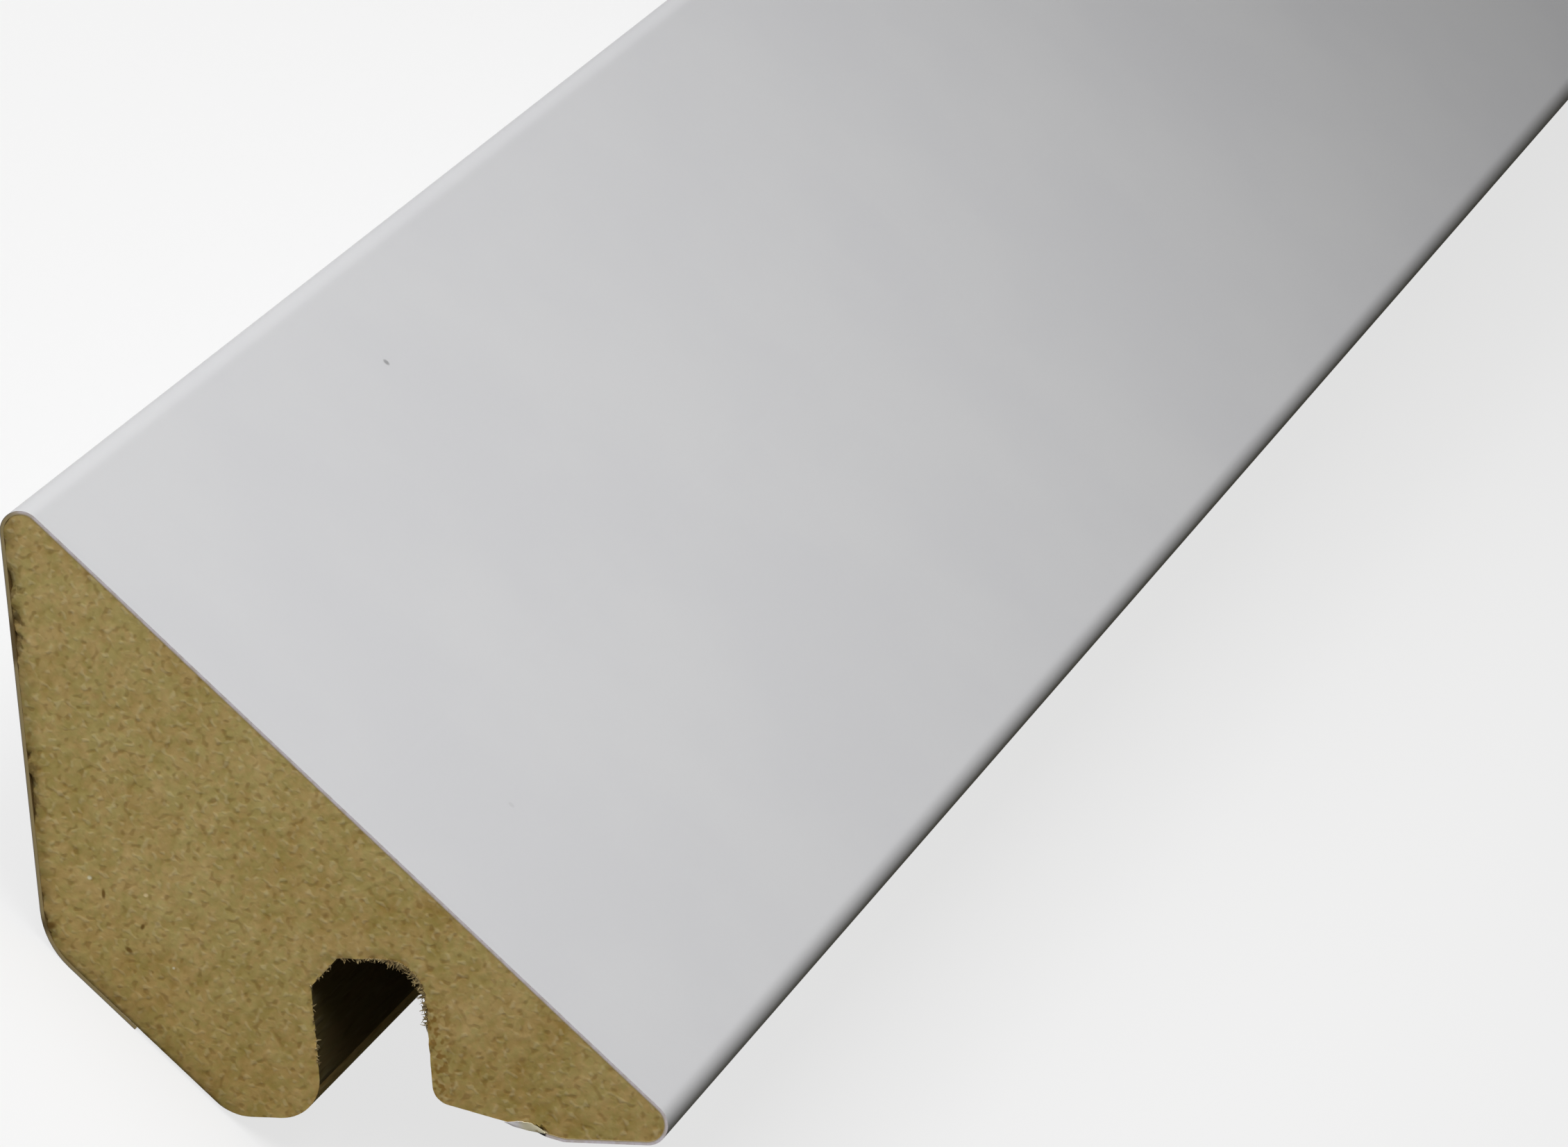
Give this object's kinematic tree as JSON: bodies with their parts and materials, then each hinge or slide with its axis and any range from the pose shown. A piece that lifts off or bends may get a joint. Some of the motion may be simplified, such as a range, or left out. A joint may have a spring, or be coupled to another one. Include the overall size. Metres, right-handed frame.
{
  "type": "cornice moulding",
  "caption": "Straight wedge-shaped cornice moulding: an MDF core with a flat slanted show face and rounded tips, wrapped in white foil, with a clip groove along its hidden side.",
  "frame": {"origin": "middle of the length, in the plane of the foil on the back slope, below the line where the show face's two halves meet, so in the plane that halves the angle between wall and ceiling", "axes": "+X along the length, +Y towards the tip of the grooved side, +Z out of the show face"},
  "size_m": [2.4, 0.0554, 0.0213],
  "materials": {
    "mdf": "matte",
    "white_foil": "satin"
  },
  "bodies": {
    "root": {"mdf_core": "mdf", "foil_wrap": "white_foil"}
  },
  "joints": []
}
